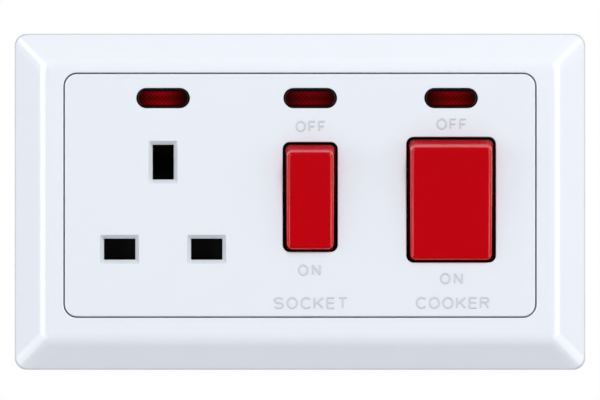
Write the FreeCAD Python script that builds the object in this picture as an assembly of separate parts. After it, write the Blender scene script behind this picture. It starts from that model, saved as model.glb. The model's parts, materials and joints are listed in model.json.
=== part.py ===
import FreeCAD
import Part
import math
import os
from FreeCAD import Vector

# Cooker control unit for a two-gang wall box: a switched 13 A socket and a double-pole
# cooker switch behind one framed panel, with three neon indicators.
# Millimetres. X runs to the right across the face, Y into the wall and Z up.
# The origin is the middle of the frame's back edge, in the plane of the wall.

# Outer frame
plate_width = 146.0
plate_height = 86.0
plate_corner = 3.0
face_depth = 10.0
rim_height = 3.0
bevel_width = 7.5
frame_wall = 2.2
ridge_radius = 5.0
rim_radius = 0.9
opening_edge = 0.3

# Panel and the opening it shows through
opening_width = 120.6
opening_height = 62.5
opening_rise = 1.65
opening_corner = 3.5
panel_gap = 0.35
panel_thickness = 2.6
panel_edge = 0.4
skirt_wall = 1.8
ledge_width = 1.6
ledge_thickness = 1.3
ledge_gap = 0.1
aperture_edge = 0.25

# Fixing to the wall box
fixing_pitch = 120.6
fixing_radius = 2.1
head_relief_width = 9.0
head_relief_depth = 3.8

# Base housing
flange_gap = 0.6
flange_thickness = 2.4
flange_rim_thickness = 1.2
flange_rim_width = 2.2
flange_corner = 2.0
tub_side_gap = 0.35
tub_wall = 1.8
tub_floor = 2.0
tub_corner = 3.0
tub_edge = 1.2
recess_depth = 0.7
recess_inset = 4.0
recess_corner = 2.5
rib_wall = 1.2
rib_depth = 2.0
rib_clearance = 0.6
section_wall_x = 14.5
pad_gap = 0.1
earth_pad_inset = 0.6

# Catches that hold the frame on the base
catch_length = 10.0
catch_reach = 1.6
catch_thickness = 0.8
catch_gap = 0.2
catch_x = 42.0
catch_z = 22.0

# Mechanism cover
cover_side_gap = 1.65
cover_end_gap = 0.5
cover_corner = 2.0
cover_thickness = 2.4
tunnel_wall = 1.2
tunnel_gap = 0.15
cover_screw_inset = 4.5
cover_screw_drop = 2.9
cover_screw_radius = 1.4
cover_screw_length = 11.8
cover_screw_head_radius = 2.4
cover_screw_head_height = 1.6
cover_screw_gap = 0.04
screw_post_radius = 2.0
screw_slot_width = 0.7
screw_slot_depth = 0.7

# Socket: positions of the pins and sizes of their slots
socket_inset = 25.05
pin_row_z = -12.1
pin_pitch = 22.2
earth_rise = 22.2
slot_length = 8.0
slot_width = 5.4
earth_length = 8.9
earth_width = 5.4
slot_bevel = 1.0
slot_bevel_depth = 1.7
slot_corner = 0.2
slot_lip = 1.9

# Socket contacts
jaw_gap = 3.8
jaw_leaf = 0.7
jaw_width = 6.4
jaw_flare = 1.0
jaw_foot = 1.3
jaw_grip_share = 0.35
jaw_lip_share = 0.15
jaw_front = 2.3
earth_jaw_width = 7.6
earth_jaw_gap = 1.5
earth_jaw_front = 4.6
earth_jaw_length = 9.4

# Shutter behind the slots
shutter_gap = 0.2
shutter_thickness = 2.8
shutter_cover = 0.2
shutter_edge = 0.5
shutter_corner = 1.6
shutter_stem = 6.4
shutter_ramp_depth = 6.2
shutter_travel = 5.8
rail_gap = 0.15
rail_wall = 1.2
rail_lip = 1.1
rail_length = 11.2
shutter_spring_radius = 1.2
shutter_spring_turns = 5

# Neon indicators
neon_drop = 6.15
neon_width = 13.6
neon_height = 5.1
lens_gap = 0.25
lens_proud = 0.2
lens_edge = 0.35
lens_flange = 0.9
lens_flange_thickness = 0.8
lens_wall = 1.2
lamp_radius = 1.5
lamp_length = 8.5
lamp_pip = 0.6
lead_radius = 0.3
lead_length = 1.4
resistor_radius = 1.1
resistor_length = 6.0
resistor_drop = 4.4
resistor_cap = 1.2
resistor_cap_step = 0.12
cradle_gap = 0.1
cradle_stop = 1.4

# Switch positions and the apertures their rockers move in
socket_switch_x = 2.6
socket_switch_z = 1.2
socket_aperture_width = 14.0
socket_aperture_height = 28.0
cooker_inset = 21.45
cooker_switch_z = 0.5
cooker_aperture_width = 22.8
cooker_aperture_height = 32.0
aperture_corner = 1.8
pole_offset = 5.1

# Rockers, measured at the middle of their swing
rocker_tilt = 7.0
pivot_depth = 5.0
rocker_proud = 3.2
rocker_back = 3.0
rocker_side_gap = 0.6
rocker_side_draft = 0.55
rocker_end_gap = 0.3
rocker_end_draft = 1.4
rocker_corner = 1.5
rocker_edge = 1.1
rocker_wall = 1.6
rocker_dish = 0.35
cheek_wall = 1.8
cheek_half = 6.0
cheek_nose = 2.4
well_clearance = 2.0
pin_radius = 1.4
pin_gap = 0.08
pin_length = 1.8
post_gap = 0.35
post_wall = 2.4
post_half = 3.2
post_top_gap = 0.1

# Sprung plungers inside the rockers
tube_radius = 2.5
tube_bore = 1.7
tube_reach = 5.5
tube_roof = 3.2
plunger_radius = 1.6
plunger_seat = 1.0
plunger_tip_gap = 0.3
plunger_spring_radius = 1.3
plunger_spring_turns = 4
spring_wire = 0.22
spring_end_gap = 0.05

# Tilting contact arms
arm_pivot_y = 5.6
arm_width = 5.0
arm_thickness = 1.0
arm_half = 9.8
arm_rib_radius = 1.1
arm_rib_gap = 0.08
cradle_step = 0.85
cradle_half = 1.6
rivet_offset = 8.3
rivet_radius = 1.5
rivet_height = 0.6
contact_gap = 0.15
fixed_rivet_radius = 1.7
fixed_rivet_height = 0.8

# Brass straps and terminals
strap_width = 5.0
strap_thickness = 1.2
strap_end = 2.0
neutral_strap_height = 3.5
neutral_strap_z = -20.25
link_step = 2.0
link_height = 3.5
link_z = -11.75
link_stud_radius = 1.5
line_riser_x = -7.0
pillar_width = 8.4
pillar_length = 9.0
pillar_depth = 9.6
pillar_gap = 0.3
pillar_edge = 0.4
cable_radius = 3.0
cable_front_wall = 1.5
terminal_screw_radius = 1.9
terminal_screw_gap = 0.05
terminal_head_radius = 2.6
terminal_head_height = 1.5
terminal_floor_gap = 0.2
window_half = 3.6
window_margin = 0.4

# Levels along Y, from the face to the back
face_y = -face_depth
panel_back = face_y + panel_thickness
flange_front = -flange_thickness
cover_front = flange_front - cover_thickness
pivot_y = face_y + pivot_depth
swing_sin = math.sin(math.radians(rocker_tilt))
swing_cos = math.cos(math.radians(rocker_tilt))
arm_throw = (arm_thickness / 2 + rivet_height) * swing_cos + (rivet_offset + rivet_radius) * swing_sin
fixed_face_y = arm_pivot_y + arm_throw + contact_gap
strap_front = fixed_face_y + fixed_rivet_height
strap_back = strap_front + strap_thickness
link_front = strap_back + link_step
link_back = link_front + strap_thickness
pillar_back = strap_back + pillar_depth
cable_y = strap_back + cable_front_wall + cable_radius
floor_y = pillar_back + terminal_floor_gap
back_y = floor_y + tub_floor
earth_plate_front = earth_jaw_front + earth_jaw_length
earth_plate_back = earth_plate_front + strap_thickness
shutter_front = flange_front + shutter_gap
shutter_back = shutter_front + shutter_thickness

# Positions across the face, from the panel's edges
panel_width = opening_width - 2 * panel_gap
panel_height = opening_height - 2 * panel_gap
panel_corner = opening_corner - panel_gap
socket_x = socket_inset - panel_width / 2
cooker_switch_x = panel_width / 2 - cooker_inset
neon_z = opening_rise + panel_height / 2 - neon_drop
earth_z = pin_row_z + earth_rise
line_x = socket_x + pin_pitch / 2
neutral_x = socket_x - pin_pitch / 2
neutral_pole_x = cooker_switch_x - pole_offset
line_pole_x = cooker_switch_x + pole_offset
shutter_half = pin_pitch / 2 + slot_length / 2 + shutter_edge
rail_inside = shutter_half + rail_gap
pillar_inner_z = earth_z + earth_jaw_width / 2 + earth_jaw_gap
pillar_outer_z = pillar_inner_z + pillar_length
tub_inside_x = rail_inside + rail_wall + tub_side_gap - socket_x
tub_inside_z = pillar_outer_z + pillar_gap
tub_width = 2 * (tub_inside_x + tub_wall)
tub_height = 2 * (tub_inside_z + tub_wall)
cover_width = panel_width - 2 * (skirt_wall + cover_side_gap)
cover_height = panel_height - 2 * (skirt_wall + cover_end_gap)
cover_screw_x = cover_width / 2 - cover_screw_inset
cover_screw_z = tub_inside_z - cover_screw_drop
flange_width = plate_width - 2 * frame_wall - 2 * flange_gap
flange_height = plate_height - 2 * frame_wall - 2 * flange_gap
neon_places = {"left": socket_x, "middle": socket_switch_x, "right": cooker_switch_x}
slots = (
    (neutral_x, pin_row_z, slot_length, slot_width),
    (line_x, pin_row_z, slot_length, slot_width),
    (socket_x, earth_z, earth_width, earth_length),
)
socket_switch = {
    "x": socket_switch_x,
    "z": socket_switch_z,
    "width": socket_aperture_width,
    "height": socket_aperture_height,
    "poles": (socket_switch_x,),
}
cooker_switch = {
    "x": cooker_switch_x,
    "z": cooker_switch_z,
    "width": cooker_aperture_width,
    "height": cooker_aperture_height,
    "poles": (neutral_pole_x, line_pole_x),
}
pillar_places = {
    "supply_neutral_pillar": (neutral_pole_x, -1),
    "supply_line_pillar": (line_pole_x, -1),
    "cooker_neutral_pillar": (neutral_pole_x, 1),
    "cooker_line_pillar": (line_pole_x, 1),
    "earth_pillar": (socket_x, 1),
}
cover_screw_places = [(sx * cover_screw_x, sz * cover_screw_z) for sx in (-1, 1) for sz in (-1, 1)]

axis_x = Vector(1, 0, 0)
axis_y = Vector(0, 1, 0)
axis_z = Vector(0, 0, 1)
margin = 1.0
touch = 1e-6


def box(x0, x1, y0, y1, z0, z1):
    return Part.makeBox(x1 - x0, y1 - y0, z1 - z0, Vector(x0, y0, z0))


def slab(x, z, width, height, y0, y1):
    return box(x - width / 2, x + width / 2, y0, y1, z - height / 2, z + height / 2)


def rod_x(x0, x1, y, z, radius):
    return Part.makeCylinder(radius, x1 - x0, Vector(x0, y, z), axis_x)


def rod_y(x, y0, y1, z, radius):
    return Part.makeCylinder(radius, y1 - y0, Vector(x, y0, z), axis_y)


def rod_z(x, y, z0, z1, radius):
    return Part.makeCylinder(radius, z1 - z0, Vector(x, y, z0), axis_z)


def prism_x(points, x0, x1):
    """A polygon of (y, z) points carried along X."""
    corners = [Vector(x0, y, z) for y, z in points]
    return Part.Face(Part.makePolygon(corners + corners[:1])).extrude(Vector(x1 - x0, 0, 0))


def prism_z(points, z0, z1):
    """A polygon of (x, y) points carried along Z."""
    corners = [Vector(x, y, z0) for x, y in points]
    return Part.Face(Part.makePolygon(corners + corners[:1])).extrude(Vector(0, 0, z1 - z0))


def rounded_wire(x, z, width, height, radius, y):
    """A rectangle with rounded corners in the plane at y; a full radius gives round ends."""
    centres = ((1, -1, -90), (1, 1, 0), (-1, 1, 90), (-1, -1, 180))
    arcs = []
    for sx, sz, start in centres:
        cx = x + sx * (width / 2 - radius)
        cz = z + sz * (height / 2 - radius)
        turn = [math.radians(start + step) for step in (0, 45, 90)]
        points = [Vector(cx + radius * math.cos(a), y, cz + radius * math.sin(a)) for a in turn]
        arcs.append(points)
    edges = []
    for index, points in enumerate(arcs):
        edges.append(Part.Arc(*points).toShape())
        following = arcs[(index + 1) % len(arcs)][0]
        if points[2].distanceToPoint(following) > touch:
            edges.append(Part.makeLine(points[2], following))
    return Part.Wire(edges)


def plate(x, z, width, height, radius, y0, y1):
    """A rounded rectangle carried along Y from y0 to y1."""
    return Part.Face(rounded_wire(x, z, width, height, radius, y0)).extrude(Vector(0, y1 - y0, 0))


def single(shape):
    """The one solid in a shape; a piece that has come apart stops the build."""
    if len(shape.Solids) != 1:
        raise ValueError("a piece has %d solids" % len(shape.Solids))
    return shape.Solids[0]


def joined(first, others):
    """One solid made of overlapping or touching solids."""
    return single(first.fuse(list(others)).removeSplitter())


def edges_at(shape, y):
    """The edges that lie wholly in the plane at y."""
    return [e for e in shape.Edges if all(abs(v.Y - y) < touch for v in e.Vertexes)]


def within(edges, x, z, width, height):
    """Those edges whose middle lies inside a rectangle seen from the front."""
    kept = []
    for edge in edges:
        middle = edge.BoundBox.Center
        if abs(middle.x - x) <= width / 2 + touch and abs(middle.z - z) <= height / 2 + touch:
            kept.append(edge)
    return kept


def coil(radius, wire, turns, length):
    """A compression spring along Z from zero, with its coils at an even pitch."""
    steps_per_turn = 10
    sides = 6
    steps = steps_per_turn * turns
    rings = []
    for step in range(steps + 1):
        angle = 2 * math.pi * step / steps_per_turn
        rise = wire + (length - 2 * wire) * step / steps
        ring = []
        for side in range(sides):
            around = 2 * math.pi * side / sides
            reach = radius + wire * math.cos(around)
            height = rise + wire * math.sin(around)
            ring.append(Vector(reach * math.cos(angle), reach * math.sin(angle), height))
        rings.append(Part.makePolygon(ring + ring[:1]))
    return Part.makeLoft(rings, True, True)


def hip_block(width, height, corner, rim, depth, bevel):
    """A rounded block on the wall plane whose four sides lean in above a straight rim."""
    block = plate(0, 0, width, height, corner, -depth, 0)

    def leaning(half):
        ridge = half - bevel
        return [(-half, 0), (half, 0), (half, -rim), (ridge, -depth), (-ridge, -depth), (-half, -rim)]

    along_x = prism_x([(y, z) for z, y in leaning(height / 2)], -width / 2, width / 2)
    along_z = prism_z(leaning(width / 2), -height / 2, height / 2)
    return single(block.common(along_x).common(along_z))


def outer_frame():
    solid = hip_block(plate_width, plate_height, plate_corner, rim_height, face_depth, bevel_width)
    ridges = edges_at(solid, face_y)
    mitres = []
    for edge in solid.Edges:
        ends = [v.Point for v in edge.Vertexes]
        span = ends[-1] - ends[0]
        if min(abs(span.x), abs(span.y), abs(span.z)) > bevel_width / 3:
            mitres.append(edge)
    solid = single(solid.makeFillet(ridge_radius, ridges + mitres))
    shoulder = []
    for edge in solid.Edges:
        heights = [v.Y for v in edge.Vertexes]
        upright = abs(heights[0] - heights[-1]) > rim_height / 2
        if max(heights) < -touch and min(heights) > -rim_height - ridge_radius and not upright:
            shoulder.append(edge)
    solid = single(solid.makeFillet(rim_radius, shoulder))

    slope = math.atan2(face_depth - rim_height, bevel_width)
    inside_depth = face_depth - frame_wall
    inside_rim = rim_height - frame_wall * (1 - math.sin(slope)) / math.cos(slope)
    inside_bevel = (inside_depth - inside_rim) / math.tan(slope)
    inside_width = plate_width - 2 * frame_wall
    inside_height = plate_height - 2 * frame_wall
    inside_corner = plate_corner - frame_wall / 2
    hollow = hip_block(inside_width, inside_height, inside_corner, inside_rim, inside_depth, inside_bevel)
    opening = plate(0, opening_rise, opening_width, opening_height, opening_corner, face_y - margin, 0)
    solid = solid.cut([hollow, opening])
    rim = within(edges_at(solid, face_y), 0, opening_rise, opening_width, opening_height)
    solid = solid.makeFillet(opening_edge, rim)

    back = catch_gap - flange_thickness + flange_rim_thickness
    catches = []
    for side in (-1, 1):
        for place in (-catch_x, catch_x):
            depth = catch_reach + frame_wall / 2
            middle = side * (inside_height / 2 - catch_reach + depth / 2)
            catches.append(slab(place, middle, catch_length, depth, back, back + catch_thickness))
        for place in (-catch_z, catch_z):
            depth = catch_reach + frame_wall / 2
            middle = side * (inside_width / 2 - catch_reach + depth / 2)
            catches.append(slab(middle, place, depth, catch_length, back, back + catch_thickness))
    return joined(solid, catches)


def front_panel():
    solid = plate(0, opening_rise, panel_width, panel_height, panel_corner, face_y, flange_front)
    solid = solid.makeFillet(panel_edge, edges_at(solid, face_y))
    ledge_front = face_y + frame_wall + ledge_gap
    ledge_back = ledge_front + ledge_thickness
    ledge_span = 2 * ledge_width
    ledge_across = panel_width + ledge_span
    ledge_upright = panel_height + ledge_span
    ledge = plate(0, opening_rise, ledge_across, ledge_upright, panel_corner, ledge_front, ledge_back)
    inside_width = panel_width - 2 * skirt_wall
    inside_height = panel_height - 2 * skirt_wall
    hollow = plate(0, opening_rise, inside_width, inside_height, panel_corner / 2, panel_back, margin)
    solid = joined(solid, [ledge]).cut(hollow)

    cutters = []
    for side in (-1, 1):
        relief_front = flange_front - head_relief_depth
        relief_x = side * fixing_pitch / 2
        cutters.append(slab(relief_x, 0, head_relief_width, head_relief_width, relief_front, margin))
    for x, z, width, height in slots:
        throat = face_y + slot_bevel_depth
        mouth = rounded_wire(x, z, width + 2 * slot_bevel, height + 2 * slot_bevel, slot_corner, face_y)
        neck = rounded_wire(x, z, width, height, slot_corner, throat)
        cutters.append(Part.makeLoft([mouth, neck], True, True))
        cutters.append(plate(x, z, width, height, slot_corner, throat, panel_back))
        rebate = 2 * (tunnel_wall + tunnel_gap)
        cutters.append(slab(x, z, width + rebate, height + rebate, face_y + slot_lip, panel_back))
    for switch in (socket_switch, cooker_switch):
        across = switch["width"]
        upright = switch["height"]
        middle = (switch["x"], switch["z"])
        cutters.append(plate(*middle, across, upright, aperture_corner, face_y - margin, 0))
    for x in neon_places.values():
        cutters.append(plate(x, neon_z, neon_width, neon_height, neon_height / 2, face_y - margin, 0))
    solid = solid.cut(cutters)

    rims = []
    front = edges_at(solid, face_y)
    for switch in (socket_switch, cooker_switch):
        rims += within(front, switch["x"], switch["z"], switch["width"], switch["height"])
    for x in neon_places.values():
        rims += within(front, x, neon_z, neon_width, neon_height)
    return single(solid.makeFillet(aperture_edge, rims))


def rocker_half_width(switch):
    return switch["width"] / 2 - rocker_side_gap


def mechanism_cover():
    solid = plate(0, opening_rise, cover_width, cover_height, cover_corner, cover_front, flange_front)
    tunnel_front = face_y + slot_lip + tunnel_gap
    added = []
    cutters = []
    for x, z, width, height in slots:
        across = width + 2 * tunnel_wall
        upright = height + 2 * tunnel_wall
        added.append(slab(x, z, across, upright, tunnel_front, cover_front))
        cutters.append(plate(x, z, width, height, slot_corner, tunnel_front, flange_front))
    for switch in (socket_switch, cooker_switch):
        well_half = rocker_half_width(switch) + post_gap
        post_front = panel_back + post_top_gap
        for side in (-1, 1):
            middle = switch["x"] + side * (well_half + post_wall / 2)
            added.append(slab(middle, switch["z"], post_wall, 2 * post_half, post_front, flange_front))
        reach = well_half + post_wall
        bore = rod_x(switch["x"] - reach, switch["x"] + reach, pivot_y, switch["z"], pin_radius + pin_gap)
        cutters.append(bore)
        across = 2 * well_half
        upright = 2 * (cheek_half + well_clearance)
        cutters.append(slab(switch["x"], switch["z"], across, upright, cover_front, flange_front))
    stop_front = panel_back + lens_flange_thickness + cradle_gap
    for x in neon_places.values():
        stop_width = neon_width / 2 - lens_wall
        cutters.append(rod_x(x - stop_width, x + stop_width, cover_front, neon_z, lamp_radius + cradle_gap))
        resistor_half = resistor_length / 2 + lead_length + cradle_gap
        resistor_z = neon_z - resistor_drop
        resistor_room = resistor_radius + resistor_cap_step + cradle_gap
        cutters.append(rod_x(x - resistor_half, x + resistor_half, cover_front, resistor_z, resistor_room))
        for side in (-1, 1):
            middle = x + side * (stop_width + cradle_stop / 2)
            added.append(slab(middle, neon_z, cradle_stop, neon_height, stop_front, cover_front))
    for x, z in cover_screw_places:
        hole = cover_screw_radius + 2 * cover_screw_gap
        cutters.append(rod_y(x, cover_front, flange_front, z, hole))
    rail_back = shutter_back + rail_gap
    rail_top = pin_row_z + slot_width / 2 + shutter_cover + rail_wall
    for side in (-1, 1):
        middle = socket_x + side * (rail_inside + rail_wall / 2)
        rail_z = rail_top - rail_length / 2
        added.append(slab(middle, rail_z, rail_wall, rail_length, flange_front, rail_back + rail_lip))
        lip = rail_wall + rail_gap + rail_lip
        lip_middle = socket_x + side * (rail_inside + rail_wall - lip / 2)
        added.append(slab(lip_middle, rail_z, lip, rail_length, rail_back, rail_back + rail_lip))
    return single(joined(solid, added).cut(cutters))


def wall_rib(x, notches):
    """An upright insulating wall across the tub, with notches where straps pass it."""
    rib = box(x - rib_wall / 2, x + rib_wall / 2, rib_depth, floor_y, -tub_inside_z, tub_inside_z)
    for y0, y1, z0, z1 in notches:
        gap = rib_clearance
        rib = rib.cut(box(x - rib_wall, x + rib_wall, y0 - gap, y1 + gap, z0 - gap, z1 + gap))
    return rib


def back_recesses():
    """Shallow cored fields in the back of the tub, one each side of the section wall."""
    left = -tub_inside_x + recess_inset
    right = tub_inside_x - recess_inset
    bottom = -tub_inside_z + recess_inset
    top = pillar_inner_z - recess_inset
    fields = (
        (left, section_wall_x - recess_inset, bottom, top),
        (section_wall_x + recess_inset, right, -top, top),
    )
    cutters = []
    for x0, x1, z0, z1 in fields:
        x = (x0 + x1) / 2
        z = (z0 + z1) / 2
        cutters.append(plate(x, z, x1 - x0, z1 - z0, recess_corner, back_y - recess_depth, back_y + margin))
    return cutters


def base_housing():
    flange = plate(0, 0, flange_width, flange_height, flange_corner, flange_front, 0)
    inner_width = flange_width - 2 * flange_rim_width
    inner_height = flange_height - 2 * flange_rim_width
    rim_back = flange_front + flange_rim_thickness
    inner = plate(0, 0, inner_width, inner_height, flange_corner, rim_back, margin)
    step = plate(0, 0, plate_width, plate_height, plate_corner, rim_back, margin).cut(inner)
    flange = flange.cut(step)
    tub = plate(0, 0, tub_width, tub_height, tub_corner, flange_front, back_y)
    tub = tub.makeFillet(tub_edge, edges_at(tub, back_y))
    inside_corner = tub_corner - tub_wall / 2
    hollow = plate(0, 0, 2 * tub_inside_x, 2 * tub_inside_z, inside_corner, flange_front - margin, floor_y)
    solid = joined(flange, [tub]).cut(hollow)

    link_low = link_z - link_height / 2
    link_notch = (link_front, link_back, link_low, link_low + link_height)
    neutral_low = neutral_strap_z - neutral_strap_height / 2
    neutral_notch = (strap_front, strap_back, neutral_low, neutral_low + neutral_strap_height)
    added = [wall_rib(cooker_switch_x, [link_notch]), wall_rib(section_wall_x, [link_notch, neutral_notch])]
    pad_front = strap_back + pad_gap
    for x in (line_x, neutral_x):
        added.append(slab(x, pin_row_z, jaw_width, jaw_width, pad_front, floor_y))
    earth_pad = earth_jaw_width - 2 * earth_pad_inset
    added.append(slab(socket_x, earth_z, earth_pad, earth_pad, earth_plate_back + pad_gap, floor_y))
    for switch in (socket_switch, cooker_switch):
        for x in switch["poles"]:
            pad_size = 2 * cradle_half
            added.append(slab(x, switch["z"], pad_size, pad_size, pad_front, floor_y))
            added.append(slab(x, switch["z"] + rivet_offset, pad_size, pad_size, pad_front, floor_y))
    solid = joined(solid, added)

    posts = []
    cutters = []
    for x, z in cover_screw_places:
        posts.append(rod_y(x, flange_front, floor_y, z, screw_post_radius))
        tip = cover_front + cover_screw_length + margin
        cutters.append(rod_y(x, flange_front, tip, z, cover_screw_radius + cover_screw_gap))
    for side in (-1, 1):
        cutters.append(rod_y(side * fixing_pitch / 2, flange_front, 0, 0, fixing_radius))
    outside = tub_height / 2 + margin
    for x, side in pillar_places.values():
        notch_front = cable_y - cable_radius - window_margin
        low, high = sorted((side * pillar_outer_z, side * outside))
        cutters.append(box(x - window_half, x + window_half, notch_front, back_y + margin, low, high))
        low, high = sorted((side * (pillar_inner_z + window_margin), side * outside))
        cutters.append(box(x - window_half, x + window_half, floor_y, back_y + margin, low, high))
    cutters += back_recesses()
    return single(joined(solid, posts).cut(cutters))


def rocked(shape, switch):
    """Turn a rocker piece about its pivot into the on position, with its top edge out."""
    shape.rotate(Vector(0, pivot_y, switch["z"]), axis_x, rocker_tilt)
    return shape


def rocker(switch):
    x = switch["x"]
    z = switch["z"]
    half_width = rocker_half_width(switch)
    width = 2 * half_width
    height = switch["height"] - 2 * rocker_end_gap
    front_y = face_y - rocker_proud
    rear_y = face_y + rocker_back
    rear = rounded_wire(x, z, width, height, rocker_corner, rear_y)
    front_width = width - 2 * rocker_side_draft
    front_height = height - 2 * rocker_end_draft
    front = rounded_wire(x, z, front_width, front_height, rocker_corner, front_y)
    solid = Part.makeLoft([rear, front], True, True)
    dish_radius = (front_height ** 2 / 4 + rocker_dish ** 2) / (2 * rocker_dish)
    dish = rod_x(x - width, x + width, front_y + rocker_dish - dish_radius, z, dish_radius)
    solid = solid.cut(dish)
    lip = [e for e in solid.Edges if all(v.Y < front_y + 2 * rocker_dish for v in e.Vertexes)]
    solid = solid.makeFillet(rocker_edge, lip)
    roof_y = front_y + rocker_dish + rocker_wall
    wall = 2 * rocker_wall
    inner_rear = rounded_wire(x, z, width - wall, height - wall, rocker_corner / 2, rear_y)
    inner_front = rounded_wire(x, z, front_width - wall, front_height - wall, rocker_corner / 2, roof_y)
    solid = solid.cut(Part.makeLoft([inner_rear, inner_front], True, True))

    added = []
    nose_y = pivot_y + cheek_nose
    cheek_top = (roof_y + rear_y) / 2
    for side in (-1, 1):
        profile = [(cheek_top, z - cheek_half), (nose_y, z - cheek_nose)]
        profile += [(nose_y, z + cheek_nose), (cheek_top, z + cheek_half)]
        outer = x + side * (half_width - rocker_side_draft)
        low, high = sorted((outer, outer - side * cheek_wall))
        added.append(prism_x(profile, low, high))
        low, high = sorted((outer - side * cheek_wall / 2, x + side * (half_width + post_gap + pin_length)))
        added.append(rod_x(low, high, pivot_y, z, pin_radius))
    bores = []
    for pole in switch["poles"]:
        tube_front = front_y + rocker_dish + rocker_wall / 2
        added.append(rod_y(pole, tube_front, pivot_y + tube_reach, z, tube_radius))
        bores.append(rod_y(pole, front_y + tube_roof, pivot_y + tube_reach, z, tube_bore))
    solid = single(joined(solid, added).cut(bores))
    return rocked(solid, switch)


def plunger(switch, x):
    """A round-nosed pin that slides in a rocker's tube and leans on a contact arm."""
    tip = arm_pivot_y - arm_thickness / 2 - plunger_tip_gap
    nose = tip - plunger_radius
    stem = rod_y(x, pivot_y + plunger_seat, nose, switch["z"], plunger_radius)
    ball = Part.makeSphere(plunger_radius, Vector(x, nose, switch["z"]))
    return rocked(joined(stem, [ball]), switch)


def plunger_spring(switch, x):
    start = face_y - rocker_proud + tube_roof + spring_end_gap
    length = pivot_y + plunger_seat - spring_end_gap - start
    spring = coil(plunger_spring_radius, spring_wire, plunger_spring_turns, length)
    spring.rotate(Vector(0, 0, 0), axis_x, -90)
    spring.translate(Vector(x, start, switch["z"]))
    return rocked(spring, switch)


def contact_arm(switch, x):
    """A see-saw contact on a round rib, with its upper end tipped back to the fixed contact."""
    z = switch["z"]
    arm_front = arm_pivot_y - arm_thickness / 2
    arm_back = arm_front + arm_thickness
    arm = slab(x, z, arm_width, 2 * arm_half, arm_front, arm_back)
    rib = rod_x(x - arm_width / 2, x + arm_width / 2, arm_pivot_y, z, arm_rib_radius)
    front = slab(x, z, 2 * arm_width, 2 * arm_half, arm_pivot_y - 2 * arm_rib_radius, arm_pivot_y)
    rivet = rod_y(x, arm_pivot_y, arm_back + rivet_height, z + rivet_offset, rivet_radius)
    arm = joined(arm, [rib.cut(front), rivet])
    arm.rotate(Vector(0, arm_pivot_y, z), axis_x, -rocker_tilt)
    return arm


def fulcrum(x, z):
    """The cradle a contact arm rocks in, standing on a strap."""
    block = slab(x, z, arm_width, 2 * cradle_half, arm_pivot_y + cradle_step, strap_front)
    groove = rod_x(x - arm_width, x + arm_width, arm_pivot_y, z, arm_rib_radius + arm_rib_gap)
    return block.cut(groove)


def fixed_rivet(x, z):
    return rod_y(x, fixed_face_y, strap_front, z + rivet_offset * swing_cos, fixed_rivet_radius)


def strap(x0, x1, z0, z1):
    return box(x0, x1, strap_front, strap_back, z0, z1)


def supply_strip(x):
    top = cooker_switch_z + cradle_half
    strip = strap(x - strap_width / 2, x + strap_width / 2, -pillar_outer_z, top)
    return joined(strip, [fulcrum(x, cooker_switch_z)])


def cooker_strip(x):
    bottom = cooker_switch_z + rivet_offset - strap_end
    strip = strap(x - strap_width / 2, x + strap_width / 2, bottom, pillar_outer_z)
    return joined(strip, [fixed_rivet(x, cooker_switch_z)])


def socket_fulcrum():
    bottom = link_z - link_height / 2
    top = socket_switch_z + cradle_half
    x = socket_switch_x
    strip = strap(x - strap_width / 2, x + strap_width / 2, bottom, top)
    return joined(strip, [fulcrum(x, socket_switch_z)])


def line_link():
    """The bar that feeds the socket's switch from the cooker switch's line terminal."""
    low = link_z - link_height / 2
    x0 = socket_switch_x - strap_width / 2
    x1 = line_pole_x + strap_width / 2
    bar = box(x0, x1, link_front, link_back, low, low + link_height)
    ends = (socket_switch_x, line_pole_x)
    studs = [rod_y(x, strap_back, link_back, link_z, link_stud_radius) for x in ends]
    return joined(bar, studs)


def jaw_leaf_profile(foot, front, gap):
    """A sprung leaf as (depth, offset) points: it closes to the gap and flares at the mouth."""
    half = gap / 2
    grip = front + (foot - front) * jaw_grip_share
    lip = front + (foot - front) * jaw_lip_share
    inner = [(foot, half + jaw_foot), (grip, half), (lip, half), (front, half + jaw_flare)]
    outer = [(depth, offset + jaw_leaf) for depth, offset in reversed(inner)]
    return inner + outer


def pin_jaws(x):
    """Leaves above and below a line or neutral pin, on a foot at the strap's level."""
    profile = jaw_leaf_profile(strap_front + strap_thickness / 2, jaw_front, jaw_gap)
    leaves = []
    for side in (-1, 1):
        points = [(y, pin_row_z + side * offset) for y, offset in profile]
        leaves.append(prism_x(points, x - jaw_width / 2, x + jaw_width / 2))
    reach = jaw_gap / 2 + jaw_foot + jaw_leaf
    foot = strap(x - jaw_width / 2, x + jaw_width / 2, pin_row_z - reach, pin_row_z + reach)
    return foot, leaves


def socket_line_contact():
    foot, leaves = pin_jaws(line_x)
    low = pin_row_z - strap_width / 2
    high = socket_switch_z + rivet_offset + strap_width / 2
    riser_left = line_riser_x - strap_width / 2
    riser_right = line_riser_x + strap_width / 2
    run = strap(line_x, riser_right, low, low + strap_width)
    riser = strap(riser_left, riser_right, low, high)
    reach = strap(riser_left, socket_switch_x + strap_width / 2, high - strap_width, high)
    return joined(foot, leaves + [run, riser, reach, fixed_rivet(socket_switch_x, socket_switch_z)])


def socket_neutral_contact():
    foot, leaves = pin_jaws(neutral_x)
    low = neutral_strap_z - neutral_strap_height / 2
    drop = strap(neutral_x - strap_width / 2, neutral_x + strap_width / 2, low, pin_row_z)
    run_end = neutral_pole_x - strap_width / 2
    run = strap(neutral_x - strap_width / 2, run_end, low, low + neutral_strap_height)
    return joined(foot, leaves + [drop, run])


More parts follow.
